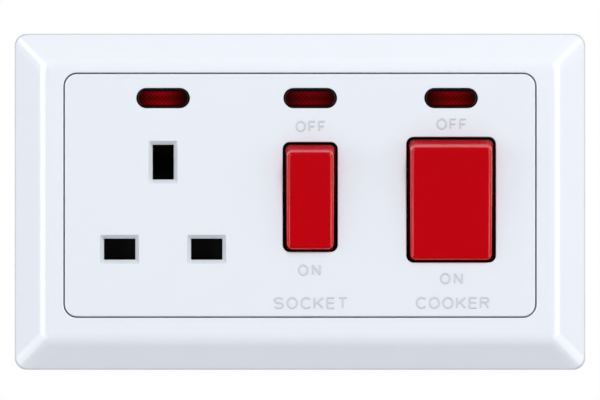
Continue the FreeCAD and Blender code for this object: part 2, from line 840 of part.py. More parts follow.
def earth_contact():
    profile = jaw_leaf_profile(earth_plate_front + strap_thickness / 2, earth_jaw_front, jaw_gap)
    leaves = []
    for side in (-1, 1):
        points = [(socket_x + side * offset, y) for y, offset in profile]
        leaves.append(prism_z(points, earth_z - earth_jaw_width / 2, earth_z + earth_jaw_width / 2))
    reach = jaw_gap / 2 + jaw_foot + jaw_leaf
    bottom = earth_z - earth_jaw_width / 2
    left = socket_x - reach
    right = socket_x + reach
    foot = box(left, right, earth_plate_front, earth_plate_back, bottom, pillar_inner_z)
    return joined(foot, leaves)


def pillar(x, side):
    """A brass terminal block with a cable hole along Z and a clamping screw from the back."""
    low, high = sorted((side * pillar_inner_z, side * pillar_outer_z))
    block = box(x - pillar_width / 2, x + pillar_width / 2, strap_back, pillar_back, low, high)
    block = block.makeChamfer(pillar_edge, edges_at(block, pillar_back))
    hole = rod_z(x, cable_y, low, high, cable_radius)
    thread = rod_y(x, cable_y, pillar_back, (low + high) / 2, terminal_screw_radius + terminal_screw_gap)
    return single(block.cut([hole, thread]))


def slotted_screw(x, z, tip_y, seat_y, head_y, shank, head):
    """A slotted screw along Y; its head lies between the seat and head_y."""
    body = rod_y(x, min(tip_y, seat_y), max(tip_y, seat_y), z, shank)
    cap = rod_y(x, min(seat_y, head_y), max(seat_y, head_y), z, head)
    inward = screw_slot_depth if seat_y > head_y else -screw_slot_depth
    y0, y1 = sorted((head_y, head_y + inward))
    slot = slab(x, z, 2 * head + margin, screw_slot_width, y0, y1)
    return single(joined(body, [cap]).cut(slot))


def terminal_screws():
    screws = []
    for x, side in pillar_places.values():
        z = side * (pillar_inner_z + pillar_outer_z) / 2
        tip = cable_y + cable_radius
        head_y = pillar_back + terminal_head_height
        radii = (terminal_screw_radius, terminal_head_radius)
        screws.append(slotted_screw(x, z, tip, pillar_back, head_y, *radii))
    return Part.makeCompound(screws)


def cover_screws():
    screws = []
    for x, z in cover_screw_places:
        tip = cover_front + cover_screw_length
        head_y = cover_front - cover_screw_head_height
        radii = (cover_screw_radius, cover_screw_head_radius)
        screws.append(slotted_screw(x, z, tip, cover_front, head_y, *radii))
    return Part.makeCompound(screws)


def socket_shutter():
    """Blades over the line and neutral slots, pushed down by the earth pin on a ramp."""
    across = 2 * shutter_half
    upright = slot_width + 2 * shutter_cover
    blade = plate(socket_x, pin_row_z, across, upright, shutter_corner, shutter_front, shutter_back)
    foot = earth_z - earth_length / 2
    crest = foot + shutter_travel + shutter_cover
    ramp_back = shutter_front + shutter_ramp_depth
    profile = [
        (shutter_front, pin_row_z),
        (shutter_front, foot),
        (ramp_back, crest),
        (ramp_back, foot - shutter_thickness),
        (shutter_back, foot - shutter_thickness - (ramp_back - shutter_back)),
        (shutter_back, pin_row_z),
    ]
    stem = prism_x(profile, socket_x - shutter_stem / 2, socket_x + shutter_stem / 2)
    return joined(blade, [stem])


def shutter_spring():
    bottom = -tub_inside_z + spring_end_gap
    top = pin_row_z - slot_width / 2 - shutter_cover - spring_end_gap
    spring = coil(shutter_spring_radius, spring_wire, shutter_spring_turns, top - bottom)
    spring.translate(Vector(socket_x, (shutter_front + shutter_back) / 2, bottom))
    return spring


def neon_lens(x):
    width = neon_width - 2 * lens_gap
    height = neon_height - 2 * lens_gap
    front = face_y - lens_proud
    back = panel_back + lens_flange_thickness
    body = plate(x, neon_z, width, height, height / 2, front, back)
    body = body.makeFillet(lens_edge, edges_at(body, front))
    span = 2 * lens_flange
    rim_height_out = neon_height + span
    rim = plate(x, neon_z, neon_width + span, rim_height_out, rim_height_out / 2, panel_back, back)
    pocket_height = height - 2 * lens_wall
    pocket_width = width - 2 * lens_wall
    pocket_front = front + 2 * lens_wall
    pocket = plate(x, neon_z, pocket_width, pocket_height, pocket_height / 2, pocket_front, back)
    return single(joined(body, [rim]).cut(pocket))


def neon_lamp(x):
    half = lamp_length / 2
    glass = rod_x(x - half + lamp_radius, x + half, cover_front, neon_z, lamp_radius)
    end = Part.makeSphere(lamp_radius, Vector(x - half + lamp_radius, cover_front, neon_z))
    pip = rod_x(x - half - lamp_pip, x, cover_front, neon_z, lead_radius)
    leads = []
    for side in (-1, 1):
        z = neon_z + side * lamp_radius / 2
        leads.append(rod_x(x, x + half + lead_length / 2, cover_front, z, lead_radius))
    return joined(glass, [end, pip] + leads)


def neon_resistor(x):
    z = neon_z - resistor_drop
    half = resistor_length / 2
    body = rod_x(x - half, x + half, cover_front, z, resistor_radius)
    lead = rod_x(x - half - lead_length, x + half + lead_length, cover_front, z, lead_radius)
    caps = []
    for start in (x - half, x + half - resistor_cap):
        caps.append(rod_x(start, start + resistor_cap, cover_front, z, resistor_radius + resistor_cap_step))
    return joined(body, [lead] + caps)


def build():
    pieces = {
        "outer_frame": outer_frame(),
        "front_panel": front_panel(),
        "mechanism_cover": mechanism_cover(),
        "base_housing": base_housing(),
        "socket_rocker": rocker(socket_switch),
        "cooker_rocker": rocker(cooker_switch),
        "socket_plunger": plunger(socket_switch, socket_switch_x),
        "socket_plunger_spring": plunger_spring(socket_switch, socket_switch_x),
        "cooker_neutral_plunger": plunger(cooker_switch, neutral_pole_x),
        "cooker_neutral_plunger_spring": plunger_spring(cooker_switch, neutral_pole_x),
        "cooker_line_plunger": plunger(cooker_switch, line_pole_x),
        "cooker_line_plunger_spring": plunger_spring(cooker_switch, line_pole_x),
        "socket_contact_arm": contact_arm(socket_switch, socket_switch_x),
        "cooker_neutral_arm": contact_arm(cooker_switch, neutral_pole_x),
        "cooker_line_arm": contact_arm(cooker_switch, line_pole_x),
        "socket_fulcrum_strip": socket_fulcrum(),
        "supply_neutral_strip": supply_strip(neutral_pole_x),
        "supply_line_strip": supply_strip(line_pole_x),
        "cooker_neutral_strip": cooker_strip(neutral_pole_x),
        "cooker_line_strip": cooker_strip(line_pole_x),
        "line_link": line_link(),
        "socket_line_contact": socket_line_contact(),
        "socket_neutral_contact": socket_neutral_contact(),
        "earth_contact": earth_contact(),
        "terminal_screws": terminal_screws(),
        "cover_screws": cover_screws(),
        "socket_shutter": socket_shutter(),
        "shutter_spring": shutter_spring(),
    }
    for name, (x, side) in pillar_places.items():
        pieces[name] = pillar(x, side)
    for place, x in neon_places.items():
        pieces["neon_lens_" + place] = neon_lens(x)
        pieces["neon_lamp_" + place] = neon_lamp(x)
        pieces["neon_resistor_" + place] = neon_resistor(x)
    return pieces


os.makedirs("parts", exist_ok=True)
for name, shape in build().items():
    shape.exportStep("parts/" + name + ".step")
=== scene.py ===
"""Finishes, legends, springs and stage for a cooker control unit."""

import json
import math

import bpy
from bpy.props import FloatProperty, FloatVectorProperty, IntProperty, PointerProperty
from mathutils import Matrix, Vector


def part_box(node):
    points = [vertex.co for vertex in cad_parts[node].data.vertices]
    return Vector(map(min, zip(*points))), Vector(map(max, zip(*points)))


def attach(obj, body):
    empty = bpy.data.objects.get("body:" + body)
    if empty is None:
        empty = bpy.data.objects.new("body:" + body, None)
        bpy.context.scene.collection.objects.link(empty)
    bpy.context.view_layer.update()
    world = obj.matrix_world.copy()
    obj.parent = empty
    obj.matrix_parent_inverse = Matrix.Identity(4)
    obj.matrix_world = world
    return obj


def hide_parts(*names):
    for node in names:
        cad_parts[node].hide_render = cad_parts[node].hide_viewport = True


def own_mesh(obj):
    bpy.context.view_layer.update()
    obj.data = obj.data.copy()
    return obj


bl_info = {
    "name": "Cooker control unit",
    "version": (1, 0, 0),
    "blender": (4, 5, 0),
    "location": "View3D > Sidebar > Cooker unit",
    "description": "Finishes, legends, springs and stage for a cooker control unit",
    "category": "Object",
}

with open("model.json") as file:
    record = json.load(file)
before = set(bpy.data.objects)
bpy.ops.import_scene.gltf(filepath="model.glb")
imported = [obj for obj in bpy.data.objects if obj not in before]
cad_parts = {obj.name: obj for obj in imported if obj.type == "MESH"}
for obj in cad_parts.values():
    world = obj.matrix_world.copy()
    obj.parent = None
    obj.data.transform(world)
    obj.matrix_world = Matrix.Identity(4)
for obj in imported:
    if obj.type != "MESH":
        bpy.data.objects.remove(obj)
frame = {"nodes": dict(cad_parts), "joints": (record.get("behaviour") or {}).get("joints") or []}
nodes = frame["nodes"]
joints = {joint["name"]: joint for joint in frame["joints"]}
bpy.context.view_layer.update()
mm = 0.001

# Words on the panel: text, name, middle across and up, width and height in millimetres.
panel_legends = (
    ("OFF", "legend_socket_off", 2.7, 19.25, 7.8, 2.95),
    ("ON", "legend_socket_on", 2.4, -17.4, 5.9, 2.95),
    ("SOCKET", "legend_socket", 2.75, -25.8, 19.0, 3.15),
    ("OFF", "legend_cooker_off", 38.65, 19.85, 7.8, 2.95),
    ("ON", "legend_cooker_on", 38.6, -19.55, 5.9, 2.95),
    ("COOKER", "legend_cooker", 38.9, -25.75, 18.8, 3.15),
)

# Width of each letter as a share of its height.
letter_widths = {
    "C": 0.87,
    "E": 0.74,
    "F": 0.68,
    "K": 0.86,
    "L": 0.66,
    "N": 0.80,
    "O": 0.94,
    "R": 0.80,
    "S": 0.86,
    "T": 0.84,
}

# The letter beside each kind of terminal.
terminal_letters = {"line": "L", "neutral": "N", "earth": "E"}

# Each neon's painted glow: its place along the lens, its reach, and its share of the lens's red.
neon_painted_glows = {
    "left": (0.47, 0.42, 0.90),
    "middle": (0.50, 0.48, 0.60),
    "right": (0.52, 0.45, 0.74),
}

# The body that each plunger rides on and the hinge that tilts it.
plunger_hinges = {
    "socket_plunger": ("socket_switch", "socket_rocker_tilt"),
    "cooker_neutral_plunger": ("cooker_switch", "cooker_rocker_tilt"),
    "cooker_line_plunger": ("cooker_switch", "cooker_rocker_tilt"),
}

# Scale of the grain that fine and coarse moulds leave, and its depth in metres.
fine_grain, fine_depth = 9000.0, 0.000002
coarse_grain, coarse_depth = 5200.0, 0.00001

# Scale of the lines on rolled and on turned metal, and their depth in metres.
rolled_lines, turned_lines, line_depth = 5200.0, 9000.0, 0.000006


def colour_property(name, description, default):
    """A setting for a colour."""
    return FloatVectorProperty(
        name=name, description=description, default=default, subtype="COLOR", size=3, min=0.0, max=1.0
    )


def length_property(name, description, default):
    """A setting for a length in metres."""
    return FloatProperty(name=name, description=description, default=default, unit="LENGTH", precision=5)


def share_property(name, description, default):
    """A setting between none and all."""
    return FloatProperty(
        name=name, description=description, default=default, subtype="FACTOR", min=0.0, max=1.0
    )


def strength_property(name, description, default):
    """A setting for the strength of a light without a place."""
    return FloatProperty(name=name, description=description, default=default, min=0.0)


def power_property(name, description, default):
    """A setting for a lamp's power in watts."""
    return FloatProperty(name=name, description=description, default=default, unit="POWER", min=0.0)


def turns_property(name, description, default):
    """A setting for the turns of a spring."""
    return IntProperty(name=name, description=description, default=default, min=3)


class UnitFinishes(bpy.types.PropertyGroup):
    """Colours and gloss of the unit's surfaces."""

    frame_white: colour_property("Frame", "Colour of the outer frame", (0.830, 0.860, 0.922))
    panel_white: colour_property("Panel", "Colour of the front panel", (0.812, 0.851, 0.910))
    dust: colour_property("Dust", "Colour of settled dust", (0.55, 0.53, 0.49))
    # The words' grey stands in for the shade on letters moulded in the panel's white: painted shade.
    legend_shade_grey: colour_property("Legends", "Colour of the words on the panel", (0.60, 0.63, 0.69))
    rocker_red: colour_property("Rockers", "Colour of the rockers", (0.53, 0.0004, 0.0046))
    rocker_shine: colour_property("Rocker shine", "Tint of the rockers' highlights", (1.0, 0.3, 0.32))
    lens_dark: colour_property("Lens edge", "Colour of a neon lens at its ends", (0.012, 0.0, 0.0))
    # A lens's redder middle over its lamp is painted light.
    lens_red: colour_property("Lens middle", "Colour of a neon lens over its lamp", (0.30, 0.0, 0.003))
    glass: colour_property("Lamp glass", "Colour of the neon lamps' glass", (0.95, 0.97, 0.96))
    base_grey: colour_property("Base", "Colour of the base housing", (0.66, 0.66, 0.63))
    mark_grey: colour_property("Terminal marks", "Colour of the terminals' letters", (0.16, 0.16, 0.16))
    black: colour_property("Black mouldings", "Colour of the mechanism cover", (0.006, 0.006, 0.007))
    nylon: colour_property("Plungers", "Colour of the plungers", (0.74, 0.72, 0.64))
    brass: colour_property("Brass", "Colour of the strips and terminals", (0.80, 0.58, 0.25))
    # The socket's contacts are darkened as painted shade inside the slots.
    slot_shade_brass: colour_property("Dull brass", "Colour of the socket's contacts", (0.24, 0.174, 0.075))
    copper: colour_property("Copper", "Colour of the contact arms", (0.83, 0.45, 0.27))
    steel: colour_property("Steel", "Colour of the screws and springs", (0.58, 0.58, 0.60))
    resistor: colour_property("Resistor", "Colour of the resistor bodies", (0.56, 0.36, 0.19))
    plastic_roughness: share_property("Plastic roughness", "Roughness of the white mouldings", 0.14)
    plastic_coat: share_property("Plastic gloss", "Clear gloss over the white mouldings", 1.0)
    plate_dust: share_property("Plate dust", "How much dust lies on the white mouldings", 0.04)
    # Past the frame's gloss its rim keeps this share of its colour: painted shade.
    rim_shade_share: share_property("Rim tone", "Share of the frame's colour on the rim at the wall", 0.68)
    rocker_coat: share_property("Rocker gloss", "Clear gloss over the rockers", 0.3)


class UnitSizes(bpy.types.PropertyGroup):
    """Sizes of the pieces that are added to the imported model, and of the frame's rim."""

    legend_raise: length_property("Legend raise", "How far the words stand off the panel", 0.00015)
    legend_stroke: length_property("Legend stroke", "Width of the lines of the words", 0.00055)
    rim_height: length_property("Rim height", "Height of the frame's upright rim over the wall", 0.003)
    mark_height: length_property("Mark height", "Height of the letters beside the terminals", 0.0024)
    mark_raise: length_property("Mark raise", "How far those letters stand off the base", 0.0003)
    wire_radius: length_property("Spring wire", "Radius of the spring wire", 0.00022)
    shutter_turns: turns_property("Shutter turns", "Turns of the shutter's spring", 6)
    plunger_turns: turns_property("Plunger turns", "Turns of a plunger's spring", 6)


class UnitStage(bpy.types.PropertyGroup):
    """Camera, floor and lights."""

    view_width: length_property("View width", "Width of the picture at the plate", 0.15380)
    view_rise: length_property("View rise", "Height of the picture's middle over the plate's", 0.00044)
    lens: FloatProperty(
        name="Lens", description="Focal length of the camera", default=400.0, unit="CAMERA", min=1.0
    )
    floor_level: length_property("Floor level", "Height of the floor", -0.30)
    floor_radius: length_property("Floor radius", "Radius of the floor", 3.0)
    floor_white: colour_property("Floor", "Colour of the floor", (0.82, 0.83, 0.86))
    floor_lift: strength_property("Floor lift", "Added white of the floor in view", 0.37)
    curtain_black: colour_property("Curtain", "Colour of the curtain and the card", (0.015, 0.015, 0.015))
    sky_strength: strength_property("Sky", "Strength of the light from all round", 0.65)
    top_power: power_property("Top", "Power of the top lamp", 7.0)
    back_power: power_property("Back", "Power of the lamp behind", 1.5)
    left_power: power_property("Left", "Power of the left lamp", 3.8)
    right_power: power_property("Right", "Power of the right lamp", 2.1)
    strip_power: power_property("Strips", "Power of each strip lamp", 6.7)


def put(tree, kind, values=None, **choices):
    """A node of this kind with its settings and its unlinked inputs."""
    node = tree.nodes.new(kind)
    for name, value in choices.items():
        setattr(node, name, value)
    for socket, value in (values or {}).items():
        node.inputs[socket].default_value = value
    return node


def feed(tree, value, socket):
    """Link an output to an input, or give the input a plain value."""
    if isinstance(value, bpy.types.NodeSocket):
        tree.links.new(value, socket)
    else:
        socket.default_value = value


def maths(tree, operation, *values):
    """The result of a Math node on outputs or numbers."""
    node = put(tree, "ShaderNodeMath", operation=operation)
    for value, socket in zip(values, node.inputs):
        feed(tree, value, socket)
    return node.outputs[0]


def ramp(tree, value, limits, smooth=False):
    """A value moved from one range to another."""
    node = put(tree, "ShaderNodeMapRange", interpolation_type="SMOOTHSTEP" if smooth else "LINEAR")
    tree.links.new(value, node.inputs["Value"])
    for name, limit in limits.items():
        feed(tree, limit, node.inputs[name])
    return node.outputs["Result"]


def axes(tree, vector):
    """The X, Y and Z of a vector."""
    node = put(tree, "ShaderNodeSeparateXYZ")
    tree.links.new(vector, node.inputs["Vector"])
    return node.outputs


def noise(tree, place, scale, detail, roughness):
    """A soft random pattern over the surface."""
    node = put(tree, "ShaderNodeTexNoise", {"Detail": detail, "Roughness": roughness})
    tree.links.new(place, node.inputs["Vector"])
    feed(tree, scale, node.inputs["Scale"])
    return node.outputs["Fac"]


def opaque(colour, share=1.0):
    """A share of a colour, with full alpha."""
    return (*(min(1.0, channel * share) for channel in colour), 1.0)


def new_group(name, inputs, outputs):
    """An empty shader node group with these float sockets, and its two end nodes."""
    tree = bpy.data.node_groups.new(name, "ShaderNodeTree")
    for socket, default in inputs.items():
        made = tree.interface.new_socket(name=socket, in_out="INPUT", socket_type="NodeSocketFloat")
        made.default_value = default
    for socket in outputs:
        tree.interface.new_socket(name=socket, in_out="OUTPUT", socket_type="NodeSocketFloat")
    return tree, tree.nodes.new("NodeGroupInput"), tree.nodes.new("NodeGroupOutput")


def close_group(tree, result, **values):
    """Link the finished values to a group's outputs."""
    for name, value in values.items():
        tree.links.new(value, result.inputs[name])
    return tree


def moulding_grain():
    """The faint texture and tone of a moulded surface."""
    scales = {"Scale": fine_grain, "Tone Scale": 90.0}
    tree, given, result = new_group("moulding_grain", scales, ("Height", "Tone"))
    place = put(tree, "ShaderNodeTexCoord").outputs["Object"]
    height = noise(tree, place, given.outputs["Scale"], detail=3.0, roughness=0.55)
    tone = noise(tree, place, given.outputs["Tone Scale"], detail=4.0, roughness=0.6)
    return close_group(tree, result, Height=height, Tone=tone)


def settled_dust():
    """A mask of dust on the faces that look up."""
    tree, given, result = new_group("settled_dust", {"Amount": 0.1}, ("Mask",))
    place = put(tree, "ShaderNodeTexCoord").outputs["Object"]
    facing = axes(tree, put(tree, "ShaderNodeNewGeometry").outputs["Normal"])
    upward = ramp(tree, facing["Z"], {"From Min": 0.35, "From Max": 1.0})
    patches = noise(tree, place, 260.0, detail=6.0, roughness=0.7)
    spread = ramp(tree, patches, {"From Min": 0.35, "From Max": 0.75})
    dusty = maths(tree, "MULTIPLY", upward, spread)
    return close_group(tree, result, Mask=maths(tree, "MULTIPLY", dusty, given.outputs["Amount"]))


def drawn_metal():
    """Fine lines along Z left by rolling or turning, and the blotchy tone of bare metal."""
    scales = {"Line Scale": rolled_lines, "Tone Scale": 420.0}
    tree, given, result = new_group("drawn_metal", scales, ("Height", "Tone"))
    place = put(tree, "ShaderNodeTexCoord").outputs["Object"]
    squeezed = put(tree, "ShaderNodeMapping", {"Scale": (1.0, 1.0, 0.04)})
    tree.links.new(place, squeezed.inputs["Vector"])
    lines = noise(tree, squeezed.outputs["Vector"], given.outputs["Line Scale"], detail=2.0, roughness=0.5)
    blotches = noise(tree, place, given.outputs["Tone Scale"], detail=5.0, roughness=0.65)
    return close_group(tree, result, Height=lines, Tone=blotches)


def depth_step():
    """A mask that rises from 0 to 1 between two depths along Y."""
    tree, given, result = new_group("depth_step", {"Start": 0.0, "End": 0.001}, ("Mask",))
    here = axes(tree, put(tree, "ShaderNodeTexCoord").outputs["Object"])
    limits = {"From Min": given.outputs["Start"], "From Max": given.outputs["End"]}
    return close_group(tree, result, Mask=ramp(tree, here["Y"], limits, smooth=True))


def lens_prisms():
    """The small prisms inside a neon lens, the painted glow of its lamp, and the lens's rounded rim,
    painted dark as shade.
    """
    inputs = {"Pitch": 0.00106, "Glow Place": 0.5, "Glow Reach": 0.3}
    tree, given, result = new_group("lens_prisms", inputs, ("Facet", "Glow", "Rim"))
    place = put(tree, "ShaderNodeTexCoord").outputs

    here = axes(tree, place["Object"])
    waves = []
    for axis in ("X", "Z"):
        turns = maths(tree, "DIVIDE", here[axis], given.outputs["Pitch"])
        waves.append(maths(tree, "SINE", maths(tree, "MULTIPLY", turns, 2 * math.pi)))
    facet = ramp(tree, maths(tree, "MULTIPLY", *waves), {"From Min": -0.5, "From Max": 0.5})

    # The painted glow fades along the lens, is weaker midway up and ends short of the long edges.
    along = axes(tree, place["Generated"])
    distance = maths(tree, "ABSOLUTE", maths(tree, "SUBTRACT", along["X"], given.outputs["Glow Place"]))
    reached = maths(tree, "DIVIDE", distance, given.outputs["Glow Reach"])
    near = ramp(tree, reached, {"From Min": 1.0, "From Max": 0.0}, smooth=True)
    height = maths(tree, "ABSOLUTE", maths(tree, "SUBTRACT", along["Z"], 0.5))
    inside = ramp(tree, height, {"From Min": 0.27, "From Max": 0.21}, smooth=True)
    bands = ramp(tree, height, {"From Min": 0.04, "From Max": 0.18, "To Min": 0.5})
    glow = maths(tree, "MULTIPLY", near, maths(tree, "MULTIPLY", inside, bands))

    # The rim is where the lens turns away from the front; there it is painted black as shade.
    facing = axes(tree, put(tree, "ShaderNodeNewGeometry").outputs["Normal"])
    rim = ramp(tree, facing["Y"], {"From Min": -0.97, "From Max": -0.85}, smooth=True)
    return close_group(tree, result, Facet=facet, Glow=glow, Rim=rim)


shared_groups = (moulding_grain, settled_dust, drawn_metal, depth_step, lens_prisms)
group_makers = {maker.__name__: maker for maker in shared_groups}


def effect(tree, name, **values):
    """The outputs of a shared group in a material. The group is made when it is first asked for."""
    group = bpy.data.node_groups.get(name) or group_makers[name]()
    node = put(tree, "ShaderNodeGroup", node_tree=group)
    for socket, value in values.items():
        node.inputs[socket.replace("_", " ")].default_value = value
    return node.outputs


def blank_material(name):
    """A new material with its shader and nothing linked to it yet."""
    material = bpy.data.materials.new(name)
    material.use_nodes = True
    tree = material.node_tree
    return material, tree, tree.nodes["Principled BSDF"]


def blend_colours(tree, factor, first, second):
    """A mix of two colours by a factor."""
    mix = put(tree, "ShaderNodeMix", data_type="RGBA")
    # A Mix node has sockets for every kind of value. Those for colours are at these places.
    for place, value in ((0, factor), (6, first), (7, second)):
        feed(tree, value, mix.inputs[place])
    return mix.outputs[2]


def vary(tree, tone, colour, least, most):
    """A colour that wanders between two shares of itself."""
    return blend_colours(tree, tone, opaque(colour, least), opaque(colour, most))


def add_bump(tree, shader, height, depth):
    """Fine relief of this depth in metres."""
    bump = put(tree, "ShaderNodeBump", {"Strength": 1.0, "Distance": depth})
    tree.links.new(height, bump.inputs["Height"])
    tree.links.new(bump.outputs["Normal"], shader.inputs["Normal"])


def spread_roughness(tree, shader, tone, roughness, share, matt=None):
    """Roughness that wanders by a share of itself, and rises where a mask says matt."""
    added = 0.5
    least, most = roughness * (1 - share), roughness * (1 + share)
    result = ramp(tree, tone, {"From Min": 0.3, "From Max": 0.7, "To Min": least, "To Max": most})
    if matt is not None:
        result = maths(tree, "MULTIPLY_ADD", matt, added, result)
    tree.links.new(result, shader.inputs["Roughness"])


def fade_coat(tree, shader, mask, coat):
    """A clear coat that a mask takes away."""
    weight = ramp(tree, mask, {"To Min": coat, "To Max": 0.0})
    tree.links.new(weight, shader.inputs["Coat Weight"])


def moulded_plastic(
    name, colour, roughness, grain=fine_grain, depth=fine_depth, dust=0.0, coat=0.0, matt=None
):
    """A moulded plastic: even colour, faint grain, dust where it looks up.

    matt gives two depths along Y and the share of the colour left past the second, where the gloss ends;
    that darker colour is painted shade.
    """
    material, tree, shader = blank_material(name)
    texture = effect(tree, "moulding_grain", Scale=grain)
    shade = vary(tree, texture["Tone"], colour, least=0.992, most=1.008)
    if dust:
        settled = effect(tree, "settled_dust", Amount=dust)["Mask"]
        shade = blend_colours(tree, settled, shade, opaque(bpy.context.scene.unit_finishes.dust))
    shader.inputs["Coat Weight"].default_value = coat
    mask = None
    if matt:
        start, end, share = matt
        mask = effect(tree, "depth_step", Start=start, End=end)["Mask"]
        # Past the second depth the colour darkens: painted shade.
        shade = blend_colours(tree, mask, shade, opaque(colour, share))
        fade_coat(tree, shader, mask, coat)
    tree.links.new(shade, shader.inputs["Base Color"])
    spread_roughness(tree, shader, texture["Tone"], roughness, share=0.15, matt=mask)
    add_bump(tree, shader, texture["Height"], depth)
    return material


def bare_metal(name, colour, roughness, lines=rolled_lines):
    """A bare metal with fine drawn lines and a blotchy tone."""
    material, tree, shader = blank_material(name)
    texture = effect(tree, "drawn_metal", Line_Scale=lines)
    shade = vary(tree, texture["Tone"], colour, least=0.82, most=1.08)
    tree.links.new(shade, shader.inputs["Base Color"])
    spread_roughness(tree, shader, texture["Tone"], roughness, share=0.25)
    add_bump(tree, shader, texture["Height"], line_depth)
    shader.inputs["Metallic"].default_value = 1.0
    return material


def red_lens(name, glow_place, glow_reach, glow_share):
    """Deep red clear plastic over a grid of prisms, painted redder in front of its lamp as painted light,
    with its rim painted black as shade.
    """
    finishes = bpy.context.scene.unit_finishes
    material, tree, shader = blank_material(name)
    prisms = effect(tree, "lens_prisms", Glow_Place=glow_place, Glow_Reach=glow_reach)
    facets = vary(tree, prisms["Facet"], finishes.lens_red, least=0.5 * glow_share, most=glow_share)
    # Over its lamp the lens is painted redder: painted light.
    shade = blend_colours(tree, prisms["Glow"], opaque(finishes.lens_dark), facets)
    # The rim is painted black: painted shade.
    shade = blend_colours(tree, prisms["Rim"], shade, opaque(finishes.black))
    tree.links.new(shade, shader.inputs["Base Color"])
    roughness = ramp(tree, prisms["Rim"], {"To Min": 0.08, "To Max": 0.7})
    tree.links.new(roughness, shader.inputs["Roughness"])
    shader.inputs["Specular IOR Level"].default_value = 0.1
    fade_coat(tree, shader, prisms["Rim"], 1.0)
    return material


def ending(*endings):
    """The CAD nodes whose names end in one of these."""
    return [name for name in nodes if name.endswith(endings)]


def dress(material, *names):
    """Give CAD nodes a material."""
    for name in names:
        mesh = nodes[name].data
        if len(mesh.materials):
            mesh.materials[0] = material
        else:
            mesh.materials.append(material)


def stand(name, data):
    """A new object in the scene."""
    made = bpy.data.objects.new(name, data)
    bpy.context.scene.collection.objects.link(made)
    return made


def add_piece(name, mesh, material, body):
    """Put a finished mesh in the scene as a piece of the unit."""
    mesh.name = name
    mesh.materials.clear()
    mesh.materials.append(material)
    piece = stand(name, mesh)
    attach(piece, body)
    return piece


def arc(middle, reach, first, last):
    """Points along an ellipse between two angles in degrees."""
    fewest, degrees_apart = 6, 9
    steps = max(fewest, int(abs(last - first) / degrees_apart))
    angles = [math.radians(first + (last - first) * step / steps) for step in range(steps + 1)]
    (x, y), (across, up) = middle, reach
    return [(x + across * math.cos(angle), y + up * math.sin(angle)) for angle in angles]


def letter_strokes(letter, right, top):
    """Centre lines of a letter that stands on zero, as lists of points."""
    across, up = right / 2, top / 2
    upper, lower = (across, 0.75 * top), (across, 0.25 * top)
    half_bowl = (across, 0.25 * top)
    stem = [(0, 0), (0, top)]
    head = [(0, top), (right, top)]
    foot = [(0, 0), (right, 0)]
    bowl_reach = 0.23 * top
    bowl_foot = top - 2 * bowl_reach
    bowl_arc = arc((right - bowl_reach, top - bowl_reach), (bowl_reach, bowl_reach), 90, -90)
    strokes = {
        "C": [arc((0.574 * right, up), (0.574 * right, up), 42, 318)],
        "E": [stem, head, [(0, 0.52 * top), (0.93 * right, 0.52 * top)], foot],
        "F": [stem, head, [(0, 0.49 * top), (0.86 * right, 0.49 * top)]],
        "K": [stem, [(0, 0.34 * top), (right, top)], [(0.36 * right, 0.57 * top), (right, 0)]],
        "L": [stem, foot],
        "N": [stem, [(0, top), (right, 0)], [(right, 0), (right, top)]],
        "O": [arc((across, up), (across, up), 0, 360)],
        "R": [stem, [(0, top), *bowl_arc, (0, bowl_foot)], [(0.55 * right, bowl_foot), (right, 0)]],
        "S": [arc(upper, half_bowl, 25, 270) + arc(lower, half_bowl, 90, -155)[1:]],
        "T": [head, [(across, 0), (across, top)]],
    }
    return strokes[letter]


def word_mesh(text, width, height, stroke, raised):
    """The letters of a word as flattened beads half sunk in the XY plane, around the origin."""
    curve = bpy.data.curves.new("word", "CURVE")
    curve.dimensions = "3D"
    curve.bevel_depth = stroke / 2
    curve.bevel_resolution = 3
    curve.use_fill_caps = True
    widths = [letter_widths[letter] * height for letter in text]
    space = (width - sum(widths)) / max(1, len(text) - 1)
    left = -width / 2 if len(text) > 1 else -widths[0] / 2
    for letter, letter_width in zip(text, widths):
        for points in letter_strokes(letter, letter_width - stroke, height - stroke):
            closed = len(points) > 2 and math.dist(points[0], points[-1]) < 1e-9
            line = curve.splines.new("POLY")
            line.use_cyclic_u = closed
            kept = points[:-1] if closed else points
            line.points.add(len(kept) - 1)
            for point, (x, y) in zip(line.points, kept):
                point.co = (left + stroke / 2 + x, y - (height - stroke) / 2, 0.0, 1.0)
        left += letter_width + space
    writing = stand("word", curve)
    bpy.context.view_layer.update()
    graph = bpy.context.evaluated_depsgraph_get()
    mesh = bpy.data.meshes.new_from_object(writing.evaluated_get(graph))
    bpy.data.objects.remove(writing)
    bpy.data.curves.remove(curve)
    mesh.transform(Matrix.Diagonal((1.0, 1.0, 2 * raised / stroke, 1.0)))
    mesh.shade_smooth()
    return mesh


def coil_mesh(radius, wire, turns, length):
    """A round-wire compression spring along Z from zero, with its end turns closed."""
    steps, sides = 28, 10
    # Turns that lie closed at each end, and those between that give.
    closed = 1.0
    active = turns - 2 * closed
    pitch = (length - 2 * wire - 2 * closed * 2 * wire) / active
    vertices, faces = [], []
    for step in range(steps * turns + 1):
        turn = step / steps
        rise = wire + 2 * wire * min(turn, closed)
        rise += pitch * min(max(turn - closed, 0.0), active)
        rise += 2 * wire * max(turn - closed - active, 0.0)
        around = Matrix.Rotation(2 * math.pi * turn, 4, "Z")
        for side in range(sides):
            angle = 2 * math.pi * side / sides
            point = Vector((radius + wire * math.cos(angle), 0.0, rise + wire * math.sin(angle)))
            vertices.append(around @ point)
    last = len(vertices) - sides
    for start in range(0, last, sides):
        for side in range(sides):
            following = (side + 1) % sides
            faces.append((start + side, start + following, start + sides + following, start + sides + side))
    faces.append(tuple(reversed(range(sides))))
    faces.append(tuple(range(last, last + sides)))
    mesh = bpy.data.meshes.new("coil")
    mesh.from_pydata(vertices, [], faces)
    mesh.shade_smooth()
    mesh.update()
    return mesh


